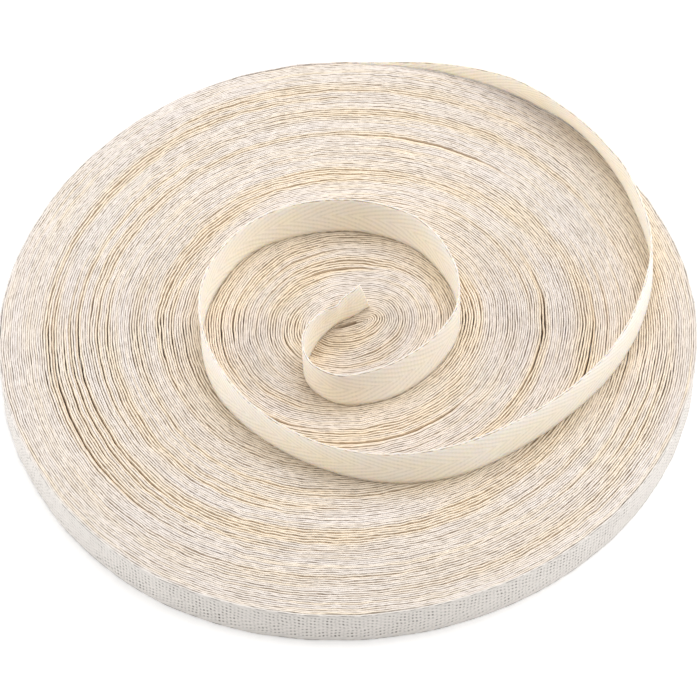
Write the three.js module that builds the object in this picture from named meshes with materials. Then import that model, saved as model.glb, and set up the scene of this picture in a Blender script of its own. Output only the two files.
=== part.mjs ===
// A flat roll of 12.7 mm herringbone twill tape, wound without a core and lying flat.
// Millimetres, +Z up. The origin is under the middle of the part, on the surface it lies on.
// The tape is wound about a short slit, so each turn is a slightly long oval.
// Its outer end leaves the rim at the back, climbs onto the roll and stands there on its edge,
// in a loose spiral that ends in a small curl over the middle.

import * as THREE from 'three';

// Driving sizes
const TAPE_WIDTH = 12.7;
const SHEET_THICKNESS = 1.0;
const SLIT_HALF_LENGTH = 4.3;
const SLIT_BEARING = 18;
const SLIT_DEPTH = 4.0;
const SLIT_SHARE = 0.003;
const WINDING_DEPTH = 90.4;

// How finely the faces follow the curves
const COLUMNS = 72;
const WIDEST_RING_STEP = 0.07;
const NARROWEST_RING_STEP = 0.0065;
const TAIL_STEPS = 124;

const DEGREE = Math.PI / 180;

// The rim is not a true oval: how far it stands out or in, every 30 degrees round from +X.
const RIM_STANDS_OUT = [-0.5, -2.0, -1.1, -0.4, 0.7, 0.0, 0.2, -0.1, 0.7, 0.1, 0.1, 0.1];

// The outermost turn ends where the loose end leaves it, which steps the rim in.
const TURN_END = {
  bearing: 85,
  halfGap: 0.1,
  proud: 0.7,
  proudFor: 26,
  sunk: 0.6,
  sunkFor: 52,
  lastWholeShare: 0.968,
  firstShare: 0.98,
};

// Rings round the slit's mouth, as shares of the way from the slit to the rim.
const SLIT_MOUTH_SHARES = [0.012, 0.03];

// Slack turns leave hollows between the tape's edges on the top.
// at: share of the way from the slit to the rim; half and deep in mm; from and to in degrees.
const HOLLOWS = [
  { at: 0.050, half: 1.2, deep: 0.7, from: 200, to: 340 },
  { at: 0.100, half: 1.4, deep: 0.9, from: 190, to: 300 },
  { at: 0.152, half: 1.3, deep: 1.6, from: 165, to: 250 },
  { at: 0.205, half: 1.2, deep: 2.2, from: 50, to: 140 },
  { at: 0.240, half: 1.1, deep: 1.2, from: -20, to: 40 },
  { at: 0.277, half: 1.0, deep: 1.6, from: 85, to: 185 },
  { at: 0.330, half: 1.6, deep: 1.5, from: 120, to: 205 },
  { at: 0.378, half: 1.4, deep: 2.0, from: 150, to: 260 },
  { at: 0.378, half: 1.4, deep: 1.1, from: -40, to: 35 },
  { at: 0.421, half: 1.0, deep: 1.9, from: 262, to: 338 },
  { at: 0.548, half: 0.9, deep: 1.5, from: 332, to: 390 },
  { at: 0.610, half: 1.3, deep: 0.8, from: 255, to: 320 },
  { at: 0.673, half: 1.1, deep: 1.4, from: 296, to: 345 },
  { at: 0.673, half: 1.1, deep: 1.2, from: 50, to: 100 },
  { at: 0.710, half: 1.0, deep: 2.1, from: 40, to: 100 },
  { at: 0.710, half: 1.0, deep: 1.4, from: 180, to: 222 },
  { at: 0.745, half: 1.2, deep: 1.6, from: 335, to: 385 },
  { at: 0.790, half: 1.5, deep: 1.5, from: 150, to: 232 },
  { at: 0.812, half: 1.0, deep: 1.5, from: 328, to: 368 },
  { at: 0.845, half: 1.3, deep: 1.6, from: 145, to: 235 },
];
const HOLLOW_FADE = 14;

// Edges of the turns stand a little high or low all over: the waves that make the top uneven.
const TOP_WAVES = [
  { high: 0.10, round: 3, out: 19, turn: 0.4 },
  { high: 0.08, round: 5, out: -34, turn: 1.7 },
  { high: 0.06, round: 2, out: 58, turn: 2.9 },
];

// The loose end, from the rim inwards. x, y and foot place its lower edge;
// lean is how far its upper edge leans away from the spiral's middle. All in mm.
const LOOSE_END = [
  { x: 10.3, y: 90.5, foot: 0.7, lean: 0.0 },
  { x: 22.2, y: 89.1, foot: 2.6, lean: -0.3 },
  { x: 34.6, y: 85.8, foot: 5.0, lean: -0.8 },
  { x: 45.0, y: 81.4, foot: 8.2, lean: -2.2 },
  { x: 53.3, y: 76.3, foot: 11.2, lean: -3.6 },
  { x: 59.5, y: 71.0, foot: 13.0, lean: -4.2 },
  { x: 66.8, y: 62.3, foot: 13.0, lean: -3.7 },
  { x: 72.7, y: 52.8, foot: 13.0, lean: -2.6 },
  { x: 77.7, y: 41.0, foot: 13.0, lean: -1.2 },
  { x: 82.3, y: 21.5, foot: 13.0, lean: -1.0 },
  { x: 79.8, y: 3.5, foot: 13.0, lean: -1.0 },
  { x: 71.8, y: -13.8, foot: 13.0, lean: -0.6 },
  { x: 59.8, y: -28.0, foot: 13.0, lean: -0.4 },
  { x: 44.4, y: -40.3, foot: 13.0, lean: -1.1 },
  { x: 27.6, y: -48.8, foot: 13.0, lean: -1.6 },
  { x: 9.5, y: -50.7, foot: 13.0, lean: -0.6 },
  { x: -8.6, y: -45.9, foot: 13.0, lean: 0.3 },
  { x: -25.2, y: -35.2, foot: 13.0, lean: 0.0 },
  { x: -36.0, y: -21.6, foot: 13.0, lean: -1.0 },
  { x: -39.8, y: -5.2, foot: 13.0, lean: 0.2 },
  { x: -36.9, y: 9.3, foot: 13.0, lean: 1.2 },
  { x: -27.8, y: 22.8, foot: 13.0, lean: 0.9 },
  { x: -14.2, y: 29.4, foot: 13.0, lean: 1.6 },
  { x: 2.4, y: 30.8, foot: 13.0, lean: 1.4 },
  { x: 17.8, y: 24.9, foot: 13.0, lean: 1.4 },
  { x: 27.4, y: 12.0, foot: 13.0, lean: 0.4 },
  { x: 29.2, y: -2.4, foot: 13.0, lean: -0.6 },
  { x: 23.0, y: -14.4, foot: 13.0, lean: -1.6 },
  { x: 11.8, y: -23.6, foot: 13.0, lean: -2.3 },
  { x: -1.2, y: -26.2, foot: 13.0, lean: -0.8 },
  { x: -9.2, y: -22.2, foot: 13.0, lean: 0.2 },
  { x: -12.2, y: -16.0, foot: 13.0, lean: 0.3 },
  { x: -10.8, y: -10.4, foot: 13.0, lean: 0.9 },
  { x: -8.0, y: -4.8, foot: 13.0, lean: -0.6 },
  { x: -3.8, y: -0.2, foot: 13.0, lean: -2.2 },
  { x: 1.0, y: 2.6, foot: 13.0, lean: -0.7 },
  { x: 5.3, y: 5.8, foot: 13.0, lean: 0.0 },
];

const clothMaterial = new THREE.MeshStandardMaterial({
  color: 0xd9cbb8,
  roughness: 0.92,
  metalness: 0,
});
const looseEndMaterial = new THREE.MeshStandardMaterial({
  color: 0xe6dac8,
  roughness: 0.9,
  metalness: 0,
});

// A smooth value between four even steps.
function between(before, start, end, after, share) {
  const bend = 2 * before - 5 * start + 4 * end - after;
  const turn = 3 * (start - end) + after - before;
  return start + 0.5 * share * (end - before + share * (bend + share * turn));
}

// How far the rim stands out at a bearing, in mm.
function rimStandsOut(bearing) {
  const count = RIM_STANDS_OUT.length;
  const place = (((bearing % 360) + 360) % 360) * (count / 360);
  const row = Math.floor(place);
  const at = (step) => RIM_STANDS_OUT[(row + step + count) % count];
  return between(at(-1), at(0), at(1), at(2), place - row);
}

// How far the outermost turn stands proud before its end, or leaves the rim sunk after it.
function turnEndStep(bearing) {
  const past = bearing - TURN_END.bearing;
  if (past > 0 && past < TURN_END.proudFor) {
    return TURN_END.proud * (1 - past / TURN_END.proudFor);
  }
  if (past < 0 && -past < TURN_END.sunkFor) {
    return -TURN_END.sunk * (1 + past / TURN_END.sunkFor);
  }
  return 0;
}

// A point on the outline of the turn that lies at a share of the way from slit to rim.
function turnPoint(share, bearing) {
  const angle = bearing * DEGREE;
  const slitAngle = SLIT_BEARING * DEGREE;
  let out = share * (WINDING_DEPTH + rimStandsOut(bearing));
  if (share >= TURN_END.firstShare) {
    out += turnEndStep(bearing);
  }
  const along = SLIT_HALF_LENGTH * Math.cos(angle - slitAngle);
  return {
    x: out * Math.cos(angle) + along * Math.cos(slitAngle),
    y: out * Math.sin(angle) + along * Math.sin(slitAngle),
  };
}

// 1 inside a hollow's stretch of bearings, fading to 0 at both of its ends.
function stretchWeight(bearing, from, to) {
  const middle = (from + to) / 2;
  const apart = Math.abs(((bearing - middle + 540) % 360) - 180);
  const inside = (to - from) / 2 - apart;
  return THREE.MathUtils.smoothstep(inside, 0, HOLLOW_FADE);
}

// Height of the top face at a share of the way out and a bearing.
function topHeight(share, bearing) {
  let height = TAPE_WIDTH;
  for (const wave of TOP_WAVES) {
    const phase = wave.round * bearing * DEGREE + wave.out * share + wave.turn;
    height -= 0.5 * wave.high * (1 + Math.sin(phase));
  }
  let deepest = 0;
  for (const hollow of HOLLOWS) {
    const off = Math.abs(share - hollow.at) * WINDING_DEPTH;
    const across = Math.max(0, 1 - off / hollow.half);
    const depth = hollow.deep * across * stretchWeight(bearing, hollow.from, hollow.to);
    deepest = Math.max(deepest, depth);
  }
  return height - deepest;
}

// Bearings of the mesh columns, with two close together where the outermost turn ends.
function columnBearings() {
  const bearings = [];
  for (let column = 0; column < COLUMNS; column += 1) {
    const bearing = (column * 360) / COLUMNS;
    if (bearing === TURN_END.bearing) {
      bearings.push(bearing - TURN_END.halfGap, bearing + TURN_END.halfGap);
    } else {
      bearings.push(bearing);
    }
  }
  return bearings;
}

// Shares of the way out at which the top has a ring of points, hollows first.
function ringShares() {
  const shares = [...SLIT_MOUTH_SHARES, TURN_END.lastWholeShare, TURN_END.firstShare, 1];
  for (const hollow of HOLLOWS) {
    const half = hollow.half / WINDING_DEPTH;
    shares.push(hollow.at - half, hollow.at, hollow.at + half);
  }
  shares.sort((a, b) => a - b);
  const rings = [];
  for (const share of shares) {
    const last = rings[rings.length - 1];
    if (last === undefined || share - last > NARROWEST_RING_STEP) {
      const fill = last === undefined ? 0 : Math.floor((share - last) / WIDEST_RING_STEP);
      for (let step = 1; step <= fill; step += 1) {
        rings.push(last + ((share - last) * step) / (fill + 1));
      }
      rings.push(share);
    }
  }
  return rings;
}

function closedGeometry(positions, indices) {
  const geometry = new THREE.BufferGeometry();
  geometry.setAttribute('position', new THREE.Float32BufferAttribute(positions, 3));
  geometry.setIndex(indices);
  geometry.computeVertexNormals();
  return geometry;
}

// The wound roll: hollowed top, plain wall, flat face to lie on, and the slit in the middle.
function woundRollGeometry() {
  const bearings = columnBearings();
  const columns = bearings.length;
  const positions = [];
  const indices = [];

  const slitFloor = TAPE_WIDTH - SLIT_DEPTH;
  const rings = [{ share: SLIT_SHARE, floor: slitFloor }];
  for (const share of ringShares()) {
    rings.push({ share, floor: null });
  }
  for (const ring of rings) {
    for (const bearing of bearings) {
      const point = turnPoint(ring.share, bearing);
      const height = ring.floor === null ? topHeight(ring.share, bearing) : ring.floor;
      positions.push(point.x, point.y, height);
    }
  }
  const footRing = rings.length;
  for (const bearing of bearings) {
    const point = turnPoint(1, bearing);
    positions.push(point.x, point.y, 0);
  }
  const slitMiddle = positions.length / 3;
  positions.push(0, 0, slitFloor);
  const footMiddle = slitMiddle + 1;
  positions.push(0, 0, 0);

  const at = (ring, column) => ring * columns + (column % columns);
  for (let column = 0; column < columns; column += 1) {
    indices.push(slitMiddle, at(0, column), at(0, column + 1));
    for (let ring = 0; ring < footRing; ring += 1) {
      const inner = at(ring, column);
      const outer = at(ring + 1, column);
      const outerNext = at(ring + 1, column + 1);
      const innerNext = at(ring, column + 1);
      indices.push(inner, outer, outerNext, inner, outerNext, innerNext);
    }
    indices.push(footMiddle, at(footRing, column + 1), at(footRing, column));
  }
  return closedGeometry(positions, indices);
}

// The standing tape: a thin sheet ruled between its lower and upper edges.
function looseEndGeometry() {
  const footCurve = new THREE.CatmullRomCurve3(
    LOOSE_END.map((row) => new THREE.Vector3(row.x, row.y, row.foot)),
    false,
    'catmullrom',
    0.5,
  );
  const leanCurve = new THREE.CatmullRomCurve3(
    LOOSE_END.map((row) => new THREE.Vector3(row.lean, 0, 0)),
    false,
    'catmullrom',
    0.5,
  );
  const positions = [];
  const indices = [];
  const across = [0, 0.5, 1];
  const ringSize = 2 * across.length;
  for (let step = 0; step <= TAIL_STEPS; step += 1) {
    const share = step / TAIL_STEPS;
    const foot = footCurve.getPoint(share);
    const lean = leanCurve.getPoint(share).x;
    const along = footCurve.getTangent(share).setZ(0).normalize();
    const outward = new THREE.Vector3(-along.y, along.x, 0);
    const rise = Math.sqrt(TAPE_WIDTH * TAPE_WIDTH - lean * lean);
    const edge = new THREE.Vector3(0, 0, rise).addScaledVector(outward, lean);
    for (const side of [-0.5, 0.5]) {
      const shares = side < 0 ? across : [...across].reverse();
      for (const height of shares) {
        const point = foot.clone().addScaledVector(edge, height);
        point.addScaledVector(outward, side * SHEET_THICKNESS);
        positions.push(point.x, point.y, point.z);
      }
    }
  }
  const at = (step, corner) => step * ringSize + (corner % ringSize);
  for (let step = 0; step < TAIL_STEPS; step += 1) {
    for (let corner = 0; corner < ringSize; corner += 1) {
      const here = at(step, corner);
      const above = at(step, corner + 1);
      const aboveNext = at(step + 1, corner + 1);
      const next = at(step + 1, corner);
      indices.push(here, next, aboveNext, here, aboveNext, above);
    }
  }
  for (let corner = 1; corner < ringSize - 1; corner += 1) {
    indices.push(at(0, 0), at(0, corner), at(0, corner + 1));
    indices.push(at(TAIL_STEPS, 0), at(TAIL_STEPS, corner + 1), at(TAIL_STEPS, corner));
  }
  return closedGeometry(positions, indices);
}

function namedMesh(name, geometry, material) {
  const mesh = new THREE.Mesh(geometry, material);
  mesh.name = name;
  return mesh;
}

const roll = new THREE.Group();
roll.add(namedMesh('wound_roll', woundRollGeometry(), clothMaterial));
roll.add(namedMesh('loose_end', looseEndGeometry(), looseEndMaterial));

// Bring the middle of the part over the origin.
const bounds = new THREE.Box3().setFromObject(roll);
const middle = bounds.getCenter(new THREE.Vector3());
roll.position.set(-middle.x, -middle.y, -bounds.min.z);

const group = new THREE.Group();
group.add(roll);

export default group;
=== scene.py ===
"""A flat roll of herringbone twill tape, wound about a short slit, with its loose end on top.

Every turn is real cloth: one long ribbon is wound from the slit out to the rim, with slack
between some of its turns, and its outer end climbs onto the roll and stands there on its edge.
Lengths are in millimetres and angles in degrees, unless a name or a comment says metres.
"""

import math

import bpy
import numpy as np
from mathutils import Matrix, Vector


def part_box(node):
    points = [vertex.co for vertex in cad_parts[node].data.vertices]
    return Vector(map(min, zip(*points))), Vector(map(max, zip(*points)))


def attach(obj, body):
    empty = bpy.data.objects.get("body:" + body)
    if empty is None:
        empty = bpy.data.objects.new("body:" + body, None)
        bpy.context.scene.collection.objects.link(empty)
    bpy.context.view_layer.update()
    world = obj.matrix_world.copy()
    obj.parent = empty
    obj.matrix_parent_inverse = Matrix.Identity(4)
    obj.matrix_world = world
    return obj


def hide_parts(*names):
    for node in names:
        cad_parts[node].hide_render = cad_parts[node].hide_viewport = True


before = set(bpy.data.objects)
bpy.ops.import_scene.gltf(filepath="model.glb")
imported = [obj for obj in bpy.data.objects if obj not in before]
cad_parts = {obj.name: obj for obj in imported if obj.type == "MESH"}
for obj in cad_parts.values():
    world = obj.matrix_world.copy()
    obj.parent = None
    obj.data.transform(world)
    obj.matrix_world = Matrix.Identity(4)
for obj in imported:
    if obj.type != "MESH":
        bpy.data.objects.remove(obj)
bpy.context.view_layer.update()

MM = 0.001
SEED = 41

# The winding, in the same sizes as the solid roll. Every 30 degrees round from +X, the rim stands
# out of an even oval by RIM_STANDS_OUT, or in where that is below 0.
TAPE_WIDTH = 12.7
SLIT_HALF_LENGTH = 4.3
SLIT_BEARING = 18
WINDING_DEPTH = 90.4
RIM_STANDS_OUT = (-0.5, -2.0, -1.1, -0.4, 0.7, 0.0, 0.2, -0.1, 0.7, 0.1, 0.1, 0.1)
# The solid roll has a column of points every so many degrees.
SOLID_COLUMN_STEP = 5
# The real tape's thickness, which is less than that of the loose end's solid sheet
TAPE_THICKNESS = 0.53

# The turns, and the bearing at which the outermost one ends and the loose end leaves it
TURNS = 143
TURN_END_BEARING = 85
# The first turn starts so far out from the slit, and moves out by FIRST_SPACING in one round.
# So does the outermost, which lies on the measured rim after RIM_SPREAD of its round.
FIRST_TURN_AT = 0.34
FIRST_SPACING = 0.56
RIM_SPREAD = 0.2
# Places in each round at which the winding is worked out
COLUMNS = 480

# How finely the ribbon follows the winding, and how much of its thickness it keeps at least
# where it runs aslant past the slit
SEGMENT = 0.8
WIDEST_ANGLE = 9
THINNEST = 0.3
# The turns are cut into pieces here. What follows the last cut is the outermost turn.
TURNS_ENDING_A_PIECE = (66, 93, 114, 131, 142)

# Slack between two turns, where the photograph shows a dark arc.
# at: share of the way from slit to rim; bearing and reach in degrees; gap in mm;
# sunk: how far the turn outside the gap lies below its neighbours, in mm.
SLACK = (
    {"at": 0.873, "bearing": 198, "reach": 32, "gap": 0.15, "sunk": 0.1},
    {"at": 0.856, "bearing": 200, "reach": 36, "gap": 0.17, "sunk": 0.15},
    {"at": 0.838, "bearing": 202, "reach": 42, "gap": 0.2, "sunk": 0.65},
    {"at": 0.810, "bearing": 200, "reach": 28, "gap": 0.15, "sunk": 0.1},
    {"at": 0.784, "bearing": 198, "reach": 40, "gap": 0.17, "sunk": 0.35},
    {"at": 0.761, "bearing": 200, "reach": 44, "gap": 0.2, "sunk": 0.45},
    {"at": 0.704, "bearing": 200, "reach": 32, "gap": 0.17, "sunk": 0.15},
    {"at": 0.662, "bearing": 196, "reach": 26, "gap": 0.15, "sunk": 0.1},
    {"at": 0.711, "bearing": 70, "reach": 30, "gap": 0.2, "sunk": 0.69},
    {"at": 0.674, "bearing": 76, "reach": 24, "gap": 0.19, "sunk": 0.25},
    {"at": 0.803, "bearing": 86, "reach": 22, "gap": 0.15, "sunk": 0.15},
    {"at": 0.540, "bearing": 0, "reach": 38, "gap": 0.2, "sunk": 0.59},
    {"at": 0.735, "bearing": 4, "reach": 26, "gap": 0.18, "sunk": 0.35},
    {"at": 0.690, "bearing": 352, "reach": 36, "gap": 0.2, "sunk": 0.59},
    {"at": 0.800, "bearing": 348, "reach": 22, "gap": 0.2, "sunk": 0.4},
    {"at": 0.425, "bearing": 295, "reach": 42, "gap": 0.2, "sunk": 0.65},
    {"at": 0.380, "bearing": 233, "reach": 30, "gap": 0.2, "sunk": 0.65},
    {"at": 0.682, "bearing": 318, "reach": 20, "gap": 0.18, "sunk": 0.3},
    {"at": 0.583, "bearing": 266, "reach": 18, "gap": 0.13, "sunk": 0.1},
    {"at": 0.605, "bearing": 284, "reach": 18, "gap": 0.13, "sunk": 0.1},
    {"at": 0.384, "bearing": 168, "reach": 24, "gap": 0.19, "sunk": 0.35},
    {"at": 0.351, "bearing": 170, "reach": 24, "gap": 0.17, "sunk": 0.25},
    {"at": 0.310, "bearing": 169, "reach": 24, "gap": 0.17, "sunk": 0.25},
    {"at": 0.277, "bearing": 122, "reach": 40, "gap": 0.2, "sunk": 0.59},
    {"at": 0.152, "bearing": 203, "reach": 36, "gap": 0.2, "sunk": 0.55},
    {"at": 0.203, "bearing": 104, "reach": 40, "gap": 0.2, "sunk": 0.85},
    {"at": 0.224, "bearing": 80, "reach": 36, "gap": 0.17, "sunk": 0.2},
    {"at": 0.235, "bearing": 16, "reach": 28, "gap": 0.2, "sunk": 0.35},
    {"at": 0.255, "bearing": 18, "reach": 24, "gap": 0.15, "sunk": 0.15},
    {"at": 0.330, "bearing": 12, "reach": 24, "gap": 0.15, "sunk": 0.15},
    {"at": 0.357, "bearing": 10, "reach": 22, "gap": 0.15, "sunk": 0.1},
    {"at": 0.850, "bearing": 338, "reach": 16, "gap": 0.13, "sunk": 0.1},
    {"at": 0.880, "bearing": 340, "reach": 18, "gap": 0.13, "sunk": 0.1},
    {"at": 0.910, "bearing": 338, "reach": 20, "gap": 0.14, "sunk": 0.1},
    {"at": 0.935, "bearing": 342, "reach": 18, "gap": 0.13, "sunk": 0.1},
)
# How steeply slack fades towards the ends of its reach, and how often the winding is worked out
# again around it
SLACK_FALL = 1.5
SLACK_PASSES = 3

# Bands of tighter and looser turns, as waves over the top: length outwards in mm, waves in a
# round, and phase in radians. BAND_STRENGTH is the power of e by which each changes the slack.
BANDS = (
    {"out": 26.0, "round": 1, "phase": 0.6},
    {"out": 15.5, "round": 2, "phase": 2.2},
    {"out": 10.5, "round": 3, "phase": 4.1},
    {"out": 7.3, "round": 2, "phase": 5.3},
)
BAND_STRENGTH = 0.3
# Random slack along the tape: its strength, as a power of e, and the mm over which it changes.
# Shorter bumps are left out, because they would add up from turn to turn into folds.
RANDOM_SLACK = (
    {"name": "long slack", "strength": 0.9, "over": 110},
    {"name": "slack", "strength": 0.4, "over": 45},
)
# The most slack that a place has, beside an even winding's
LOOSEST = 2.6
# The outermost turns lie tighter: over how many, and how much of the slack they keep
TIGHT_TURNS = 14
TIGHTEST = 0.35

# Small unevenness of the tape. by: how much, in mm where no comment says otherwise; over: the mm
# over which it changes. Each name also seeds its own random values.
UNEVEN = {
    # Neighbouring turns sway together, and their tops swell together.
    "sway": {"by": 0.12, "over": 7.0},
    "upper sway": {"by": 0.1, "over": 3.2},
    "swell": {"by": 0.12, "over": 5.0},
    "fine swell": {"by": 0.08, "over": 2.0},
    # Each turn strays a little by itself. The first two are shares of the room beside it, and
    # "sunk" is a share of the slack beside it.
    "stray": {"by": 0.3, "over": 14},
    "lean": {"by": 0.3, "over": 9},
    "sunk": {"by": 0.6, "over": 40},
    "stitch": {"by": 0.11, "over": 2.2},
    "high turn": {"by": 0.07, "over": 30},
    "high stitch": {"by": 0.05, "over": 2.5},
    "foot": {"by": 0.03, "over": 20},
    # The outermost turn and the loose end
    "outer lean": {"by": 0.12, "over": 30},
    "tail lean": {"by": 0.15, "over": 24},
    "tail foot": {"by": 0.05, "over": 17},
    "tail top": {"by": 0.03, "over": 3},
}
# A stitch moves the top of a turn by at most this share of the room beside it.
STITCH_ROOM = 0.4
# A turn sinks where the gaps beside it are wider than the first, and by a share of the rest,
# which counts up to the second.
SINKING_GAP = 0.12
MOST_SLACK = 0.5
# Random values over the plane are a sum of waves, this many, in these multiples of their spacing,
# and scaled to reach about 1.
FIELD_WAVES = 14
FIELD_LENGTHS = (1.5, 3.2)
FIELD_STRENGTH = 0.7

# The loose end's climb: it lies against the rim's upper corner while its foot rises.
# bearing is in degrees; foot is the height of its lower edge; lean is how far its upper edge
# leans away from the middle.
CLIMB = (
    {"bearing": 77.5, "foot": 2.6, "lean": -0.3},
    {"bearing": 69.5, "foot": 5.0, "lean": -0.8},
    {"bearing": 62.5, "foot": 8.2, "lean": -2.2},
    {"bearing": 56.5, "foot": 11.0, "lean": -3.6},
)
# The height of that corner, and how far the tape stays off it
RIM_TOP = 12.45
CLIMB_CLEARANCE = 0.05

# The rest of it, inwards over the roll: x and y place its lower edge. Its foot stands on top of
# the roll, at the height of the tape's width, where a row has no other.
LOOSE_END = (
    {"x": 59.6, "y": 70.3, "foot": 12.5, "lean": -4.2},
    {"x": 66.8, "y": 62.3, "lean": -3.7},
    {"x": 72.7, "y": 52.8, "lean": -2.6},
    {"x": 77.7, "y": 41.0, "lean": -1.2},
    {"x": 82.3, "y": 21.5, "lean": -1.0},
    {"x": 79.8, "y": 3.5, "lean": -1.0},
    {"x": 71.8, "y": -13.8, "lean": -0.6},
    {"x": 59.8, "y": -28.0, "lean": -0.4},
    {"x": 44.4, "y": -40.3, "lean": -1.1},
    {"x": 27.6, "y": -48.8, "lean": -1.6},
    {"x": 9.5, "y": -50.7, "lean": -0.6},
    {"x": -8.6, "y": -45.9, "lean": 0.3},
    {"x": -25.2, "y": -35.2, "lean": 0.0},
    {"x": -36.0, "y": -21.6, "lean": -1.0},
    {"x": -39.8, "y": -5.2, "lean": 0.2},
    {"x": -36.9, "y": 9.3, "lean": 1.2},
    {"x": -27.8, "y": 22.8, "lean": 0.9},
    {"x": -14.2, "y": 29.4, "lean": 1.6},
    {"x": 2.4, "y": 30.8, "lean": 1.4},
    {"x": 17.8, "y": 24.9, "lean": 1.4},
    {"x": 27.4, "y": 12.0, "lean": 0.4},
    {"x": 29.2, "y": -2.4, "lean": -0.6},
    {"x": 23.0, "y": -14.4, "lean": -1.6},
    {"x": 11.8, "y": -23.6, "lean": -2.3},
    {"x": -1.2, "y": -26.2, "lean": -0.8},
    {"x": -9.2, "y": -22.2, "lean": 0.2},
    {"x": -12.2, "y": -16.0, "lean": 0.3},
    {"x": -10.8, "y": -10.4, "lean": 0.9},
    {"x": -8.0, "y": -4.8, "lean": -0.6},
    {"x": -3.8, "y": -0.2, "lean": -2.2},
    {"x": 1.0, "y": 2.6, "lean": -0.7},
    {"x": 5.3, "y": 5.8, "lean": 0.0},
)
# How finely its curve is worked out, and how far apart its rings of points are
CURVE_STEPS = 6000
LOOSE_END_STEP = 0.5
# Its end is cut askew: the upper corner lies END_SLANT before the lower one. The tape's mesh
# slants more and more from END_SLANT_FROM before the end.
END_SLANT = 3.4
END_SLANT_FROM = 16.0
# The last stretch of the outermost turn is part of the loose end's piece, so no seam shows. Its
# curve is led in by so many of the turn's own points.
LOOSE_END_TAKES = 24.0
LEAD_IN_ROWS = 3
# Before that stretch, the outermost turn's painted wall shade and top edge pass into the loose
# end's over these
TONE_FADE = 100.0
EDGE_FADE = 30.0
# Along the loose end's piece, light begins to pass through LIGHT_FROM after its start and
# passes fully LIGHT_FADE later. Its random lean grows from nothing over LEAN_FADE.
LIGHT_FROM = 4.0
LIGHT_FADE = 20.0
LEAN_FADE = 60.0

# Rows of faces up the tape, and how far its upper selvedge is rounded over
WOUND_ROWS = 1
WOUND_ROUNDING = 0.22
OUTER_ROWS = 8
OUTER_ROUNDING = 0.2
LOOSE_END_ROWS = 9
LOOSE_END_ROUNDING = 0.16
# The rounding has one more point on each side, at this share of the half thickness and this
# share of the rounding.
SHOULDER_SIDE = 0.7
SHOULDER_DROP = 0.3

# Turns are painted golden where they lie low, for light bounced between the turns, fully at
# this depth
GOLDEN_DEPTH = 0.8
# They are painted golden beside a gap of more than "from" too, for light bounced into it, and as
# golden as "share" says when it is wider by "over".
GOLDEN_GAP = {"from": 0.13, "over": 0.12, "share": 0.72}
# They are painted golden beside the standing tape too, for light that has passed through it. Its
# curve is worked out less finely for that.
GOLDEN_BY_TAPE = {"reach": 5.0, "share": 0.9, "steps": 2000}
# Loose bands are painted warmer, for light bounced between their turns, where the gaps inside
# these neighbours, counted outwards, are on average more than "from", and fully so when they are
# wider by "over".
BAND_TURNS = range(-2, 4)
LOOSE_GAP = {"from": 0.05, "over": 0.1}
# How warm that painted light is in the middle, how that changes towards the rim and to the
# right, and the least that is left
WARM_MIDDLE = 1.05
WARM_OUTWARDS = -0.6
WARM_TO_RIGHT = 0.4
LEAST_WARM = 0.15

# The weave: spacing of its picks, ends and slanting ribs, along and across the tape
PICK_SPACING = 1.05
END_SPACING = 1.5
RIB_ALONG = 3.8
RIB_ACROSS = 1.6
# Threads sway by up to half a millimetre, over these lengths along and across the tape.
SWAY_ALONG = 8.0
SWAY_ACROSS = 4.0
# How high ribs and picks stand, as shares of the bump
RIB_HEIGHT = 0.5
PICK_HEIGHT = 0.15
# Pits between the threads take painted shade. They follow waves from -1 to 1 of the picks, the
# rows and the ribs, begin at the first value and are whole at the second.
PICK_PIT = (-0.45, 0.7)
ROW_PIT = (-0.9, 0.55)
RIB_PIT = (-0.5, 0.7)
# The least that is left of a pit off the ribs, and the least that chance leaves of it
PIT_OFF_RIB = 0.35
LEAST_PIT = 0.5
# On the rim's wall the pits take this much more painted shade, as the wall lies in shade.
WALL_PITS = 0.9
# Painted shade darkens the ribs over this part of their wave.
RIB_DARK = (-0.6, 1.0)

# In mm from the tape's nearer edge: the selvedge fades out over the first, the painted brown shade
# of a face in a gap begins over the second, and the painted shade of the weave's pits over the
# third.
SELVEDGE = (0.15, 0.5)
GAP_FACE = (0.15, 0.9)
PIT_START = (0.9, 1.6)
# The heights over which painted light makes the tape's faces paler towards their upper edge
LIT_UPPER_PART = (6.5, 12.5)

# Stitches round the selvedges: their length and slant, and how far their noise differs from turn
# to turn and from side to side
STITCH_LENGTH = 1.9
STITCH_SLANT = 0.45
TURN_APART = 3.7
SIDE_APART = 0.8
# The noise over which a stitch takes painted shade, for the crevices between stitches and turns,
# the shares of the half thickness over which the top turns into its flank, how much painted shade
# a stitch takes on the top, how much more on the flank, and how high it stands beside the bump
STITCH_SHADE = (0.42, 0.62)
FLANK = (0.3, 0.95)
SHADE_ON_TOP = 0.12
MORE_SHADE_ON_FLANK = 0.54
STITCH_HEIGHT = 2.0

# Warmer lengths of tape: their length, how far they differ from turn to turn, and their noise
TONE_LENGTH = 70.0
TONE_TURN_APART = 0.9
WARM_NOISE = (0.4, 0.75)
# Paler patches of the roll, and patches where the pits take fainter painted shade: waves in a
# metre, noise, and how pale the first are and how much the second leave of a pit
PALE_PER_METRE = 60.0
PALE_NOISE = (0.35, 0.7)
PALE_SHARE = 0.45
PATCHES_PER_METRE = 90.0
PATCH_NOISE = (0.35, 0.65)
LEAST_PATCH = 0.5

# Light that has gone from face to face is golden where turns lie low and brown deep in the gaps,
# less brown by LIT_GAP where it is also golden.
GOLDEN = (0.91, 0.775, 0.575, 1)
BROWN = (0.50, 0.34, 0.19, 1)
LIT_GAP = 0.5

# The surface of the cloth
ROUGHNESS = 0.92
SPECULAR = 0.2
SHEEN = 0.12
SHEEN_ROUGHNESS = 0.6
BUMP_STRENGTH = 0.5
BUMP_METRES = 0.00008
# How deep light goes into it, and the share of that for red, green and blue
GLOW_METRES = 0.002
GLOW_COLOURS = (1.0, 0.75, 0.48)
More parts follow.
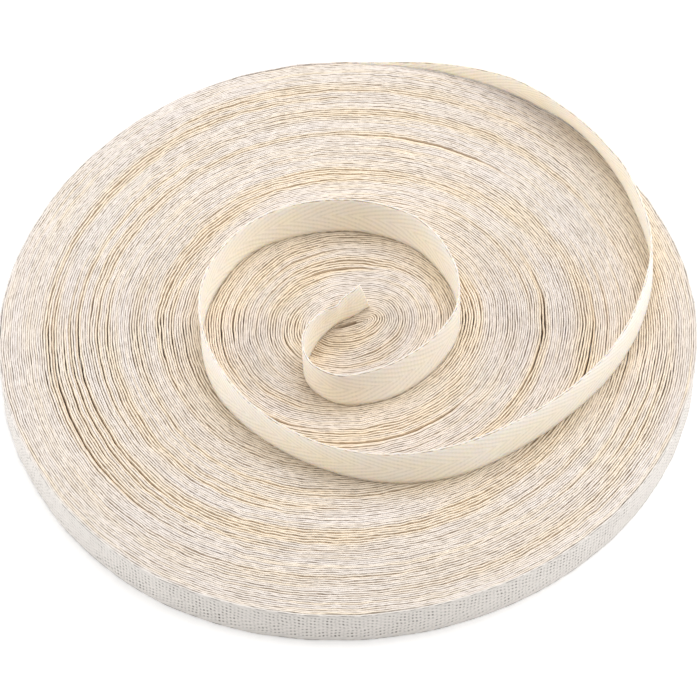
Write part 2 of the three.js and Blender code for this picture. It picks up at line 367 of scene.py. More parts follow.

# cream, warm and pale are tones of the cloth; warm and pale are also the colours of painted light.
# wall is painted shade for the rim's wall, a darker, greyer copy of the cloth's tone, and shadow
# the painted shade between the threads. golden and brown say how far low turns and the faces in a
# gap take those colours of painted bounce light and shade; pits and ribs, how much painted shade
# these take; glow, how much light passes through the cloth; and the last two, how much paler
# painted light makes its faces near their upper edge, and how much painted shade darkens its
# selvedges.
WOUND_LOOK = {
    "cream": (0.825, 0.765, 0.715, 1),
    "warm": (0.87, 0.77, 0.63, 1),
    "pale": (0.81, 0.765, 0.745, 1),
    "wall": (0.78, 0.74, 0.70, 1),
    "shadow": (0.20, 0.12, 0.05, 1),
    "golden": 0.75,
    "brown": 0.75,
    "pits": 0.0,
    "ribs": 0.0,
    "glow": 0.0,
    "painted_top_light": 0.0,
    "painted_selvedge_shade": 0.0,
}
TAPE_LOOK = {
    "cream": (0.935, 0.84, 0.75, 1),
    "warm": (0.94, 0.825, 0.71, 1),
    "pale": (0.91, 0.855, 0.835, 1),
    "wall": (0.78, 0.74, 0.70, 1),
    "shadow": (0.06, 0.045, 0.03, 1),
    "golden": 0.0,
    "brown": 0.0,
    "pits": 0.1,
    "ribs": 0.1,
    "glow": 1.0,
    "painted_top_light": 0.6,
    "painted_selvedge_shade": 0.22,
}
WALL_LOOK = {**TAPE_LOOK, "glow": 0.0}

# The camera, where the photograph was taken from: it aims at the floor under the slit
CAMERA_ELEVATION = 55.5
CAMERA_DISTANCE = 990
CAMERA_LENS = 186.7
SENSOR_WIDTH = 36

# The studio, in metres: a floor just under the roll, which glows a little, and the pale air
# around it. The lamps' rows are name, place, size, power in watts, and colour.
FLOOR_SIZE = 6
FLOOR_HEIGHT = -0.0002
FLOOR_COLOUR = (0.95, 0.95, 0.95, 1)
FLOOR_ROUGHNESS = 0.9
FLOOR_GLOW = 0.22
AIR_LIGHT = 0.35
WHITE = (1.0, 1.0, 1.0, 1)
OVERHEAD_COLOUR = (1.0, 0.98, 0.955)
SIDE_COLOUR = (1.0, 1.0, 1.0)
LAMPS = (
    ("lamp_over", (0.12, 0.22, 1.0), 0.8, 9.1, OVERHEAD_COLOUR),
    ("lamp_left", (-0.9, 0.05, 0.35), 0.6, 4.2, SIDE_COLOUR),
    ("lamp_right", (0.95, -0.05, 0.4), 0.6, 3.8, SIDE_COLOUR),
)


def smooth_between(before, start, end, after, share):
    """Values on a smooth curve from start to end that follows the values on both sides of them."""
    bend = 2 * before - 5 * start + 4 * end - after
    turn = 3 * (start - end) + after - before
    return start + 0.5 * share * (end - before + share * (bend + share * turn))


def smooth_through(values, share):
    """Values on a smooth curve through a table's rows, at shares of the way through them."""
    rows = np.vstack([2 * values[0] - values[1], values, 2 * values[-1] - values[-2]])
    place = share * (len(values) - 1)
    row = np.minimum(np.floor(place).astype(int), len(values) - 2)
    four = (rows[row + step] for step in range(4))
    return smooth_between(*four, (place - row)[:, None])


def rim_stands_out(bearing):
    """How far the rim stands out at these bearings, smooth between the values of the table."""
    values = np.array(RIM_STANDS_OUT)
    place = np.mod(bearing, 360) * len(values) / 360
    row = np.floor(place).astype(int)
    four = (values[(row + step) % len(values)] for step in (-1, 0, 1, 2))
    return smooth_between(*four, place - row)


def winding_point(out, bearing):
    """Points that lie so far out from the slit at these bearings."""
    angle = np.radians(bearing)
    slit = math.radians(SLIT_BEARING)
    along = SLIT_HALF_LENGTH * np.cos(angle - slit)
    x = out * np.cos(angle) + along * math.cos(slit)
    y = out * np.sin(angle) + along * math.sin(slit)
    return np.stack([x, y], axis=1)


def part_shift():
    """From the slit's middle to the middle of the part, read off the frame's roll."""
    bearings = np.arange(0, 360, SOLID_COLUMN_STEP)
    rim = winding_point(WINDING_DEPTH + rim_stands_out(bearings), bearings)
    low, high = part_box("wound_roll")
    middle = np.array([low.x + high.x, low.y + high.y]) / (2 * MM)
    return middle - (rim.min(axis=0) + rim.max(axis=0)) / 2


def wander(name, along, spacing):
    """Smooth random values, about -1 to 1, along the tape, that change every spacing mm."""
    draw = np.random.default_rng([SEED, *name.encode()])
    place = along / spacing
    row = np.floor(place).astype(int)
    values = draw.uniform(-1, 1, row.max() + 4)
    four = (values[row + step] for step in range(4))
    return smooth_between(*four, place - row)


def field(name, points, spacing):
    """Smooth random values, about -1 to 1, over the plane, that change every spacing mm."""
    draw = np.random.default_rng([SEED, *name.encode()])
    total = np.zeros(len(points))
    for _ in range(FIELD_WAVES):
        heading = draw.uniform(0, 2 * math.pi)
        length = spacing * draw.uniform(*FIELD_LENGTHS)
        start = draw.uniform(0, 2 * math.pi)
        across = points[:, 0] * math.cos(heading) + points[:, 1] * math.sin(heading)
        total += np.sin(2 * math.pi * across / length + start)
    return FIELD_STRENGTH * total / math.sqrt(FIELD_WAVES)


def random_values(name, where):
    """The random values of a named unevenness, over points of the plane or along the tape."""
    over = UNEVEN[name]["over"]
    return field(name, where, over) if where.ndim == 2 else wander(name, where, over)


def both_ways(name, where, room=1.0):
    """A named unevenness that goes to both sides. room scales one that is a share."""
    return UNEVEN[name]["by"] * room * random_values(name, where)


def one_way(name, where):
    """A named unevenness that goes to one side only, by up to about twice its size."""
    return UNEVEN[name]["by"] * (1 + random_values(name, where))


def band(out, bearing):
    """High where turns lie loose, low where they lie tight, all over the top."""
    total = np.zeros(len(out))
    for row in BANDS:
        angle = 2 * math.pi * out / row["out"] + row["round"] * np.radians(bearing)
        total += np.sin(angle + row["phase"])
    return total


def looseness(turned, out):
    """How loose each place of the winding is beside an even winding, before the slack table."""
    # Roughly how far along the tape each place lies
    along = np.cumsum(np.radians(360 / COLUMNS) * (out + SLIT_HALF_LENGTH / 2))
    loose = BAND_STRENGTH * band(out, TURN_END_BEARING - turned)
    for row in RANDOM_SLACK:
        loose += row["strength"] * wander(row["name"], along, row["over"])
    loose = np.minimum(np.exp(loose), LOOSEST)
    # It evens out at both ends, so that the turns meet where one passes into the next.
    turn = turned / 360
    ends = np.clip(np.minimum(turn - 1, TURNS - turn), 0, 1)
    loose = 1 + (loose - 1) * ends
    return loose * np.clip((TURNS - turn) / TIGHT_TURNS, TIGHTEST, 1)


def slack_places(turned, out):
    """For each row of the slack table, how far the tape has turned where its gap is."""
    places = []
    for row in SLACK:
        past_end = (TURN_END_BEARING - row["bearing"]) % 360
        column = int(round(past_end * COLUMNS / 360)) % COLUMNS
        turns_out = out[column : TURNS * COLUMNS : COLUMNS]
        wanted = row["at"] * (WINDING_DEPTH + rim_stands_out(row["bearing"]))
        nearest = int(np.argmin(np.abs(turns_out - wanted)))
        places.append(turned[nearest * COLUMNS + column])
    return places


def slack_windows(places, turned, column):
    """What a column of the slack table comes to at each place of the winding."""
    total = np.zeros(len(turned))
    for row, place in zip(SLACK, places):
        apart = np.abs(turned - place) / row["reach"]
        near = apart < 1
        total[near] += row[column] * (1 - apart[near] ** 2) ** SLACK_FALL
    return total


def over_turns(values):
    """Sums of these values over all turns but the first, for each column."""
    return values[COLUMNS:-1].reshape(TURNS - 1, COLUMNS).sum(axis=0)


def wind():
    """The winding at even steps of turning: how far out it lies, its gaps and where it is sunk."""
    turned = np.arange(TURNS * COLUMNS + 1) * 360 / COLUMNS
    out = turned / 360 * WINDING_DEPTH / TURNS
    loose = looseness(turned, out)

    one_round = turned[:COLUMNS]
    rim = WINDING_DEPTH + rim_stands_out(TURN_END_BEARING - one_round) - TAPE_THICKNESS / 2
    rim += (one_round / 360 - RIM_SPREAD) * FIRST_SPACING
    first = FIRST_TURN_AT + one_round / 360 * FIRST_SPACING
    for _ in range(SLACK_PASSES):
        places = slack_places(turned, out)
        named = slack_windows(places, turned, "gap")
        # What the tape and the named gaps leave between slit and rim is shared out.
        spare = rim - first - (TURNS - 1) * TAPE_THICKNESS - over_turns(named)
        share = spare / over_turns(loose)
        gap = named + np.append(np.tile(share, TURNS), share[0]) * loose
        step = np.concatenate([first, (TAPE_THICKNESS + gap)[COLUMNS:-1]])
        out = np.cumsum(step.reshape(TURNS, COLUMNS), axis=0).ravel()
        out = np.append(out, 2 * out[-1] - out[-2])
    return {"turned": turned, "out": out, "gap": gap, "sunk": slack_windows(places, turned, "sunk")}


def even_steps(turned, out):
    """Angles at which the ribbon has a ring: one every SEGMENT, and closer in the tight middle."""
    lengths = np.radians(np.diff(turned)) * (out[1:] + out[:-1] + SLIT_HALF_LENGTH) / 2
    rings = np.maximum(lengths / SEGMENT, np.diff(turned) / WIDEST_ANGLE)
    total = np.concatenate([[0], np.cumsum(rings)])
    steps = int(math.ceil(total[-1]))
    return np.interp(np.linspace(0, total[-1], steps + 1), total, turned)


def arc_length(points):
    """How far along the path each of its points lies."""
    return np.concatenate([[0], np.cumsum(np.linalg.norm(np.diff(points, axis=0), axis=1))])


def outward_normals(points):
    """Unit normals of a clockwise path, pointing away from its middle."""
    ahead = np.gradient(points, axis=0)
    ahead /= np.linalg.norm(ahead, axis=1)[:, None]
    return np.stack([-ahead[:, 1], ahead[:, 0]], axis=1)


def beside_standing_tape(points):
    """1 at the foot of the standing tape and inside its curl, fading to 0 away from it."""
    rows = np.array([[row["x"], row["y"]] for row in LOOSE_END])
    fine = smooth_through(rows, np.linspace(0, 1, GOLDEN_BY_TAPE["steps"]))
    along = arc_length(fine)
    # One place every millimetre or so, so that the sum is the same beside any stretch of it.
    even = np.linspace(0, along[-1], int(along[-1]) + 1)
    reach = GOLDEN_BY_TAPE["reach"]
    total = np.zeros(len(points))
    for x, y in zip(np.interp(even, along, fine[:, 0]), np.interp(even, along, fine[:, 1])):
        apart = (points[:, 0] - x) ** 2 + (points[:, 1] - y) ** 2
        total += np.exp(-apart / reach**2)
    return np.clip(total / (reach * math.sqrt(math.pi)), 0, 1)


def painted_golden_light(points, deep, widest):
    """Painted golden light on turns that lie low, beside a wide gap or beside the standing tape."""
    by_depth = np.clip(deep / GOLDEN_DEPTH, 0, 1)
    past = np.clip((widest - GOLDEN_GAP["from"]) / GOLDEN_GAP["over"], 0, 1)
    by_gap = GOLDEN_GAP["share"] * past
    by_tape = GOLDEN_BY_TAPE["share"] * beside_standing_tape(points)
    return np.maximum(np.maximum(by_depth, by_gap), by_tape)


def loose_band_bounce_light(points, gaps):
    """Painted warm bounce light on loose bands, most of all in the middle and at the right."""
    right = points[:, 0] / WINDING_DEPTH
    far = (points**2).sum(axis=1) / WINDING_DEPTH**2
    warm = WARM_MIDDLE + WARM_OUTWARDS * far + WARM_TO_RIGHT * right
    past = np.clip((gaps - LOOSE_GAP["from"]) / LOOSE_GAP["over"], 0, 1)
    return past * np.clip(warm, LEAST_WARM, 1)


def shape_turns(winding):
    """The wound tape, ring by ring: its path, the form of its section and its marks."""
    turned, out, gap = winding["turned"], winding["out"], winding["gap"]
    angles = even_steps(turned, out)
    bearing = TURN_END_BEARING - angles
    points = winding_point(np.interp(angles, turned, out), bearing)
    along = arc_length(points)
    normals = outward_normals(points)
    radial = np.stack([np.cos(np.radians(bearing)), np.sin(np.radians(bearing))], axis=1)
    squeeze = np.clip((normals * radial).sum(axis=1), THINNEST, 1)

    inside = np.interp(angles, turned, gap)
    outside = np.interp(np.minimum(angles + 360, turned[-1]), turned, gap)
    room = np.minimum(inside, outside)
    sideways = both_ways("sway", points) + both_ways("stray", along, room)
    lean = both_ways("upper sway", points)
    lean += np.clip(both_ways("stitch", along), -STITCH_ROOM * room, STITCH_ROOM * room)
    lean += both_ways("lean", along, room)
    points = points + normals * sideways[:, None]

    slack = np.clip((inside + outside) / 2 - SINKING_GAP, 0, MOST_SLACK)
    deep = np.interp(angles, turned, winding["sunk"])
    low = one_way("swell", points) + one_way("fine swell", points)
    low += one_way("high turn", along) + one_way("high stitch", along)
    low += slack * one_way("sunk", along)
    low += deep
    foot = one_way("foot", along)

    nearby = np.mean([np.interp(angles + 360 * step, turned, gap) for step in BAND_TURNS], axis=0)
    return {
        "angle": angles,
        "along": along,
        "points": points,
        "normals": normals,
        "thickness": TAPE_THICKNESS * squeeze,
        "lean": lean,
        "low": low,
        "foot": foot,
        "rise": TAPE_WIDTH - low - foot,
        "turn": angles / 360,
        "loose": loose_band_bounce_light(points, nearby),
        "golden": painted_golden_light(points, deep, np.maximum(inside, outside)),
    }


def stretch(tape, start, end):
    """The rings of the tape from start up to end."""
    return {label: values[start:end] for label, values in tape.items()}


def cut_turns(tape):
    """The stretches of tape that make a piece each, and the outermost turn."""
    cuts = [0]
    for turn in TURNS_ENDING_A_PIECE:
        cuts.append(int(np.searchsorted(tape["angle"], turn * 360)))
    # Each stretch ends on the ring where the next one begins.
    inner = [stretch(tape, start, end + 1) for start, end in zip(cuts[:-1], cuts[1:])]
    return inner, stretch(tape, cuts[-1], None)


def turn_marks(tape):
    """The marks that every wound turn carries."""
    return {label: tape[label] for label in ("turn", "loose", "golden")}


def section(rows, rounding):
    """Corners round the tape's section, clockwise seen along it: (side, share up, drop) for each.

    side is -1 to 1 across the thickness; drop is how far below the edge the corner lies.
    """
    heights = [step / rows for step in range(rows)]
    shoulder = SHOULDER_DROP * rounding
    left = [(-1.0, height, 0.0) for height in heights]
    top = [(-1.0, 1, rounding), (-SHOULDER_SIDE, 1, shoulder), (0.0, 1, 0.0)]
    top += [(SHOULDER_SIDE, 1, shoulder), (1.0, 1, rounding)]
    right = [(1.0, height, 0.0) for height in reversed(heights)]
    return left + top + right


def ribbon_rings(path, shift, corners):
    """Rings of points of a ribbon that stands on its lower edge along this path."""
    side, up, drop = (np.array(values) for values in zip(*corners))
    offset = 0.5 * path["thickness"][:, None] * side + path["lean"][:, None] * up
    plan = (path["points"] + shift)[:, None, :] + path["normals"][:, None, :] * offset[:, :, None]
    height = path["foot"][:, None] + path["rise"][:, None] * up - drop
    return np.concatenate([plan, height[:, :, None]], axis=2)


def tape_places(along, corners):
    """Places on the flat tape for every corner of every ring: along it, and up across it."""
    across = np.array([TAPE_WIDTH * up - drop for _, up, drop in corners])
    uv = np.empty((len(along), len(corners), 2))
    uv[:, :, 0] = along[:, None]
    uv[:, :, 1] = across
    return uv


def ribbon_mesh(name, rings, uv, corners, marks, material):
    """A closed ribbon through these rings of points, with its ends filled.

    rings: steps x corners x 3; uv: steps x corners x 2, along and across in mm;
    marks: named values of each step, which the material reads.
    """
    steps, count = rings.shape[:2]
    mesh = bpy.data.meshes.new(name)
    mesh.vertices.add(steps * count)
    mesh.vertices.foreach_set("co", (rings * MM).astype(np.float32).ravel())
    ring_starts = np.arange(steps - 1)[:, None] * count
    here = ring_starts + np.arange(count)
    beside = ring_starts + (np.arange(count) + 1) % count
    quads = np.stack([here, here + count, beside + count, beside], axis=2).reshape(-1, 4)
    first_cap = np.arange(count)
    last_cap = (steps - 1) * count + np.arange(count)[::-1]
    corner_verts = np.concatenate([quads.ravel(), first_cap, last_cap])
    starts = np.append(np.arange(len(quads)) * 4, [len(quads) * 4, len(quads) * 4 + count])
    mesh.loops.add(len(corner_verts))
    mesh.polygons.add(len(starts))
    mesh.loops.foreach_set("vertex_index", corner_verts.astype(np.int32))
    mesh.polygons.foreach_set("loop_start", starts.astype(np.int32))

    # The foot, which is the last face of each ring, and both ends are flat. The rest is smooth.
    flat = np.zeros((steps - 1, count), bool)
    flat[:, -1] = True
    mesh.attributes.new("sharp_face", "BOOLEAN", "FACE")
    mesh.attributes["sharp_face"].data.foreach_set("value", np.append(flat.ravel(), [True, True]))
    mesh.update(calc_edges=True)

    layer = mesh.uv_layers.new(name="tape")
    layer.uv.foreach_set("vector", uv.reshape(-1, 2)[corner_verts].astype(np.float32).ravel())
    values_of = {"side": np.tile([side for side, _, _ in corners], steps)}
    for label, values in marks.items():
        values_of[label] = np.repeat(values, count)
    for label, values in values_of.items():
        attribute = mesh.attributes.new(label, "FLOAT", "POINT")
        attribute.data.foreach_set("value", values.astype(np.float32))
    mesh.materials.append(material)
    mesh.validate()
    piece = bpy.data.objects.new(name, mesh)
    bpy.context.scene.collection.objects.link(piece)
    return piece


def make_inner_turns(stretches, shift, material):
    """All turns but the outermost, as closed ribbons that follow one another from the slit."""
    corners = section(WOUND_ROWS, WOUND_ROUNDING)
    pieces = []
    for number, tape in enumerate(stretches, 1):
        rings = ribbon_rings(tape, shift, corners)
        uv = tape_places(tape["along"], corners)
        name = f"wound_turns_{number}"
        pieces.append(ribbon_mesh(name, rings, uv, corners, turn_marks(tape), material))
    return pieces


def loose_end_start(outermost):
    """The ring of the outermost turn at which the loose end's piece begins."""
    left = outermost["along"][-1] - outermost["along"]
    return np.count_nonzero(left >= LOOSE_END_TAKES) - 1


def make_outer_turn(outermost, shift, material):
    """The outermost turn up to where the loose end begins, with more rows up its face."""
    kept = stretch(outermost, 0, loose_end_start(outermost) + 1)
    before_end = outermost["along"][-1] - kept["along"] - LOOSE_END_TAKES
    fade = np.clip(before_end / EDGE_FADE, 0, 1)
    path = {
        "points": kept["points"],
        "normals": outward_normals(outermost["points"])[: len(fade)],
        "thickness": np.full(len(fade), TAPE_THICKNESS),
        "lean": both_ways("outer lean", kept["along"]) * fade,
        "foot": kept["foot"],
        "rise": TAPE_WIDTH - (kept["low"] + kept["foot"]) * fade,
    }
    corners = section(OUTER_ROWS, OUTER_ROUNDING)
    rings = ribbon_rings(path, shift, corners)
    marks = turn_marks(kept)
    # Painted shade for the rim's wall, fading out towards the loose end
    marks["wall"] = np.clip(before_end / TONE_FADE, 0, 1)
    uv = tape_places(kept["along"], corners)
    return ribbon_mesh("outer_turn", rings, uv, corners, marks, material)


def climb_rows():
    """Rows of x, y, foot and lean for the climb, lying against the upper corner of the rim."""
    rows = []
    for row in CLIMB:
        below = (TURN_END_BEARING - row["bearing"]) / 360 - RIM_SPREAD
        rim = WINDING_DEPTH + float(rim_stands_out(row["bearing"])) + below * FIRST_SPACING
        share = (RIM_TOP - row["foot"]) / TAPE_WIDTH
        beyond = TAPE_THICKNESS / 2 + CLIMB_CLEARANCE - row["lean"] * share
        place = winding_point(np.array([rim + beyond]), np.array([row["bearing"]]))[0]
        rows.append([place[0], place[1], row["foot"], row["lean"]])
    return np.array(rows)


def loose_end_path(outermost):
    """Even places along the loose end's piece, and x, y, foot and lean at each of them."""
    first = loose_end_start(outermost)
    rim_rows = np.column_stack(
        [outermost["points"], outermost["foot"], np.zeros(len(outermost["foot"]))]
    )
    every = max(1, len(rim_rows[first:]) // LEAD_IN_ROWS)
    start = rim_rows[first::every][:LEAD_IN_ROWS]
    before = rim_rows[first - every]
    rows = [[row["x"], row["y"], row.get("foot", TAPE_WIDTH), row["lean"]] for row in LOOSE_END]
    table = np.vstack([before, start, climb_rows(), rows])
    # The row before the start only gives the curve its direction there.
    fine = smooth_through(table, np.linspace(1 / (len(table) - 1), 1, CURVE_STEPS))
    along = arc_length(fine[:, :3])
    even = np.linspace(0, along[-1], int(along[-1] / LOOSE_END_STEP) + 1)
    return even, np.column_stack([np.interp(even, along, fine[:, column]) for column in range(4)])


def cut_askew(rings, uv, even, normals, corners):
    """Pull the upper part of the tape's end back, so that the end is cut askew."""
    into_end = np.clip((even - even[-1] + END_SLANT_FROM) / END_SLANT_FROM, 0, 1)
    back = END_SLANT * into_end[:, None] * np.array([up for _, up, _ in corners])
    ahead = np.stack([normals[:, 1], -normals[:, 0]], axis=1)
    rings[:, :, :2] -= ahead[:, None, :] * back[:, :, None]
    uv[:, :, 0] -= back


def make_loose_end(outermost, shift, material):
    """The standing tape, with the last stretch of the outermost turn. Returns it and its length."""
    even, rows = loose_end_path(outermost)
    normals = outward_normals(rows[:, :2])
    lean = rows[:, 3] + both_ways("tail lean", even) * np.clip(even / LEAN_FADE, 0, 1)
    path = {
        "points": rows[:, :2],
        "normals": normals,
        "thickness": np.full(len(even), TAPE_THICKNESS),
        "lean": lean,
        "foot": np.maximum(rows[:, 2] + both_ways("tail foot", even), 0),
        "rise": np.sqrt(TAPE_WIDTH**2 - lean**2) + both_ways("tail top", even),
    }
    corners = section(LOOSE_END_ROWS, LOOSE_END_ROUNDING)
    rings = ribbon_rings(path, shift, corners)
    uv = tape_places(even + outermost["along"][loose_end_start(outermost)], corners)
    cut_askew(rings, uv, even, normals, corners)
    marks = {label: np.zeros(len(even)) for label in ("loose", "golden", "wall")}
    marks["turn"] = np.full(len(even), float(TURNS))
    marks["lit_through"] = np.clip((even - LIGHT_FROM) / LIGHT_FADE, 0, 1)
    return ribbon_mesh("standing_tape", rings, uv, corners, marks, material), even[-1]


def node(tree, kind, **settings):
    """A new shader node with these settings."""
    made = tree.nodes.new(kind)
    for key, value in settings.items():
        setattr(made, key, value)
    return made


def calc(tree, operation, *values):
    """The result of this operation on these sockets or numbers."""
    made = node(tree, "ShaderNodeMath", operation=operation)
    for socket, value in zip(made.inputs, values):
        if isinstance(value, (int, float)):
            socket.default_value = value
        else:
            tree.links.new(value, socket)
    return made.outputs[0]


def times(tree, first, *others):
    """The product of these values."""
    for value in others:
        first = calc(tree, "MULTIPLY", first, value)
    return first


def rest_of(tree, value):
    """1 minus this value."""
    return calc(tree, "SUBTRACT", 1.0, value)


def at_least(tree, value, least):
    """A value from 0 to 1, squeezed to run from least to 1."""
    return calc(tree, "ADD", times(tree, value, 1 - least), least)


def between(tree, value, low, high):
    """0 below low, 1 above high and smooth in between."""
    made = node(tree, "ShaderNodeMapRange", interpolation_type="SMOOTHSTEP")
    tree.links.new(value, made.inputs["Value"])
    made.inputs["From Min"].default_value = low
    made.inputs["From Max"].default_value = high
    return made.outputs["Result"]


def wave(tree, value, length):
    """A cosine of this value, -1 to 1, that repeats every length."""
    return calc(tree, "COSINE", times(tree, value, 2 * math.pi / length))


def vector(tree, **parts):
    """A place made of its X, Y and Z."""
    made = node(tree, "ShaderNodeCombineXYZ")
    for axis, value in parts.items():
        tree.links.new(value, made.inputs[axis])
    return made.outputs[0]


def noise(tree, place, scale, detail):
    """Smooth noise, 0 to 1, at this place."""
    made = node(tree, "ShaderNodeTexNoise")
    made.inputs["Scale"].default_value = scale
    made.inputs["Detail"].default_value = detail
    tree.links.new(place, made.inputs["Vector"])
    return made.outputs["Fac"]


def mix_colour(tree, share, first, second):
    """The first colour where the share is 0, and the second where it is 1."""
    made = node(tree, "ShaderNodeMix", data_type="RGBA")
    share_socket, first_socket, second_socket = made.inputs[0], made.inputs[6], made.inputs[7]
    for socket, value in ((share_socket, share), (first_socket, first), (second_socket, second)):
        if isinstance(value, (int, float, tuple)):
            socket.default_value = value
        else:
            tree.links.new(value, socket)
    return made.outputs[2]


def mark(tree, label):
    """A mark of the mesh. It reads as 0 where the mesh has none of that name."""
    return node(tree, "ShaderNodeAttribute", attribute_name=label).outputs["Fac"]


def cloth_places(tree):
    """Where a point of the cloth lies: on the flat tape, among the mesh's marks and on the roll."""
    flat = node(tree, "ShaderNodeUVMap", uv_map="tape")
    split = node(tree, "ShaderNodeSeparateXYZ")
    tree.links.new(flat.outputs["UV"], split.inputs["Vector"])
    places = {label: mark(tree, label) for label in ("turn", "side", "loose", "golden", "wall")}
    places["along"] = split.outputs["X"]
    places["across"] = split.outputs["Y"]
    off_middle = calc(tree, "ABSOLUTE", calc(tree, "SUBTRACT", places["across"], TAPE_WIDTH / 2))
    places["from_edge"] = calc(tree, "SUBTRACT", TAPE_WIDTH / 2, off_middle)
    places["edge"] = rest_of(tree, between(tree, places["from_edge"], *SELVEDGE))
    places["on_roll"] = node(tree, "ShaderNodeTexCoord").outputs["Object"]
    return places


def twill(tree, places):
    """The weave: height of its threads, its slanting ribs, and how much painted shade its pits
    take.

    The ribs turn back at the middle of the tape, as herringbone does.
    """
    # No thread runs quite straight. The noise runs from 0 to 1, so half of it is taken off.
    sway_place = vector(
        tree,
        X=calc(tree, "DIVIDE", places["along"], SWAY_ALONG),
        Y=calc(tree, "DIVIDE", places["across"], SWAY_ACROSS),
    )
    sway = calc(tree, "SUBTRACT", noise(tree, sway_place, scale=1.0, detail=1.0), 0.5)
    along = calc(tree, "ADD", places["along"], sway)
    across = calc(tree, "ADD", places["across"], sway)

    from_middle = calc(tree, "ABSOLUTE", calc(tree, "SUBTRACT", across, TAPE_WIDTH / 2))
    slant = calc(tree, "SUBTRACT", from_middle, times(tree, along, RIB_ACROSS / RIB_ALONG))
    rib = wave(tree, slant, RIB_ACROSS)
    pick = wave(tree, along, PICK_SPACING)
    # Each row's wave is highest in the row's middle.
    rows = calc(tree, "DIVIDE", across, END_SPACING)
    row = wave(tree, calc(tree, "SUBTRACT", calc(tree, "FRACT", rows), 0.5), 1)
    height = calc(tree, "ADD", times(tree, rib, RIB_HEIGHT), times(tree, pick, PICK_HEIGHT))

    # Chance gives each crossing of two threads a pit with its own depth of painted shade.
    picks = calc(tree, "DIVIDE", along, PICK_SPACING)
    crossing = vector(tree, X=calc(tree, "ROUND", picks), Y=calc(tree, "FLOOR", rows))
    chance = node(tree, "ShaderNodeTexWhiteNoise", noise_dimensions="2D")
    tree.links.new(crossing, chance.inputs["Vector"])
    pit = times(
        tree,
        between(tree, pick, *PICK_PIT),
        between(tree, row, *ROW_PIT),
        at_least(tree, chance.outputs["Value"], LEAST_PIT),
        at_least(tree, between(tree, rib, *RIB_PIT), PIT_OFF_RIB),
    )
    return height, rib, pit


def stitches(tree, places):
    """Along the selvedges the weft wraps round, in slanting stitches of uneven length."""
    slanted = calc(tree, "ADD", places["along"], times(tree, places["side"], STITCH_SLANT))
    place = vector(
        tree,
        X=calc(tree, "DIVIDE", slanted, STITCH_LENGTH),
        Y=times(tree, places["turn"], TURN_APART),
        Z=times(tree, places["side"], SIDE_APART),
    )
    return noise(tree, place, scale=1.0, detail=2.0)


def cloth_colour(tree, places, look):
    """The colour of the cloth before its threads shade it."""
    # Whole lengths of tape are warmer than others, and loose bands take painted warm bounce light.
    length_place = vector(
        tree,
        X=calc(tree, "DIVIDE", places["along"], TONE_LENGTH),
        Y=times(tree, places["turn"], TONE_TURN_APART),
    )
    by_length = between(tree, noise(tree, length_place, scale=1.0, detail=2.0), *WARM_NOISE)
    warm_tone_and_bounce = calc(tree, "MAXIMUM", by_length, places["loose"])
    colour = mix_colour(tree, warm_tone_and_bounce, look["cream"], look["warm"])

    # Some patches of the roll are paler, and painted light makes the faces paler near their upper
    # edge.
    place_noise = noise(tree, places["on_roll"], PALE_PER_METRE, detail=3.0)
    by_place = between(tree, place_noise, *PALE_NOISE)
    upper = times(tree, between(tree, places["across"], *LIT_UPPER_PART), look["painted_top_light"])
    pale_patches_and_lit_top = calc(tree, "MAXIMUM", times(tree, by_place, PALE_SHARE), upper)
    colour = mix_colour(tree, pale_patches_and_lit_top, colour, look["pale"])

    # Painted shade: the rim's wall takes a darker, greyer copy of the cloth's tone.
    colour = mix_colour(tree, places["wall"], colour, look["wall"])
    # Painted bounce light: low turns, turns beside wide gaps and turns by the standing tape are
    # golden.
    colour = mix_colour(tree, times(tree, places["golden"], look["golden"]), colour, GOLDEN)
    # Painted shade: faces deep in a gap turn brown, less so under painted golden light.
    in_gap = times(tree, between(tree, places["from_edge"], *GAP_FACE), look["brown"])
    unlit = rest_of(tree, times(tree, places["golden"], LIT_GAP))
    return mix_colour(tree, times(tree, in_gap, unlit), colour, BROWN)


def cloth_shade(tree, places, look, stitch, rib, pit):
    """How much of the cloth's colour shows, from 0, in full painted shadow, to 1."""
    edge = places["edge"]
    # Painted shade in the crevices between stitches and between turns, more on the flanks.
    flank = times(tree, edge, between(tree, calc(tree, "ABSOLUTE", places["side"]), *FLANK))
    flank_shade = calc(tree, "ADD", SHADE_ON_TOP, times(tree, flank, MORE_SHADE_ON_FLANK))
    stitch_shade = times(tree, edge, between(tree, stitch, *STITCH_SHADE), flank_shade)

    # Painted shade in the weave's pits, stronger on the rim's wall, which lies in shade.
    patch_noise = noise(tree, places["on_roll"], PATCHES_PER_METRE, detail=2.0)
    pits = times(
        tree,
        pit,
        between(tree, places["from_edge"], *PIT_START),
        calc(tree, "ADD", times(tree, places["wall"], WALL_PITS), look["pits"]),
        at_least(tree, between(tree, patch_noise, *PATCH_NOISE), LEAST_PATCH),
    )
    # Painted shade on the ribs of the twill.
    ribs = times(tree, between(tree, rib, *RIB_DARK), rest_of(tree, edge), look["ribs"])
    # Painted shade over the selvedges, toning down the light on them; none on the rim's wall.
    selvedge_shade = times(tree, edge, rest_of(tree, places["wall"]), look["painted_selvedge_shade"])
    return times(tree, *(rest_of(tree, dark) for dark in (stitch_shade, pits, ribs, selvedge_shade)))


